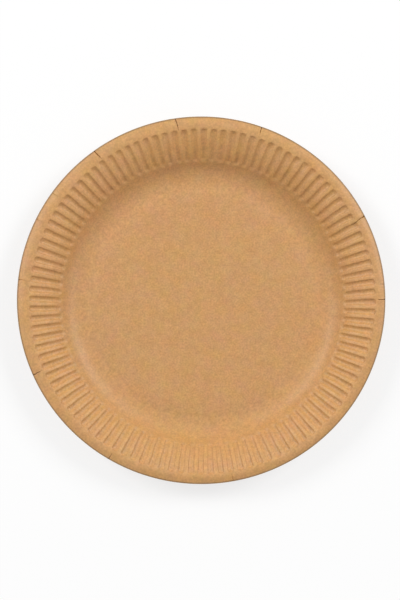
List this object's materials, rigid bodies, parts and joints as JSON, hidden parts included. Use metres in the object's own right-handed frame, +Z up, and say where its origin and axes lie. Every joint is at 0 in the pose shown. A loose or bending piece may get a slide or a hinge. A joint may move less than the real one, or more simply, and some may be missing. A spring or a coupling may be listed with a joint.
{
  "type": "paper plate",
  "caption": "Round disposable plate of pressed brown kraft board, with a fluted wall and a brim that rolls over and down.",
  "frame": {"origin": "centre of the foot ring, in the plane of the table that the plate stands on", "axes": "+Z up along the plate's axis, out of its dish; +Y towards the side shown at the top of the picture, +X towards its right"},
  "size_m": [0.23, 0.23, 0.0177],
  "materials": {
    "kraft_board": "uncoated brown kraft board with fine mottled fibres, matt"
  },
  "bodies": {
    "root": {"plate": "kraft_board"}
  },
  "joints": []
}
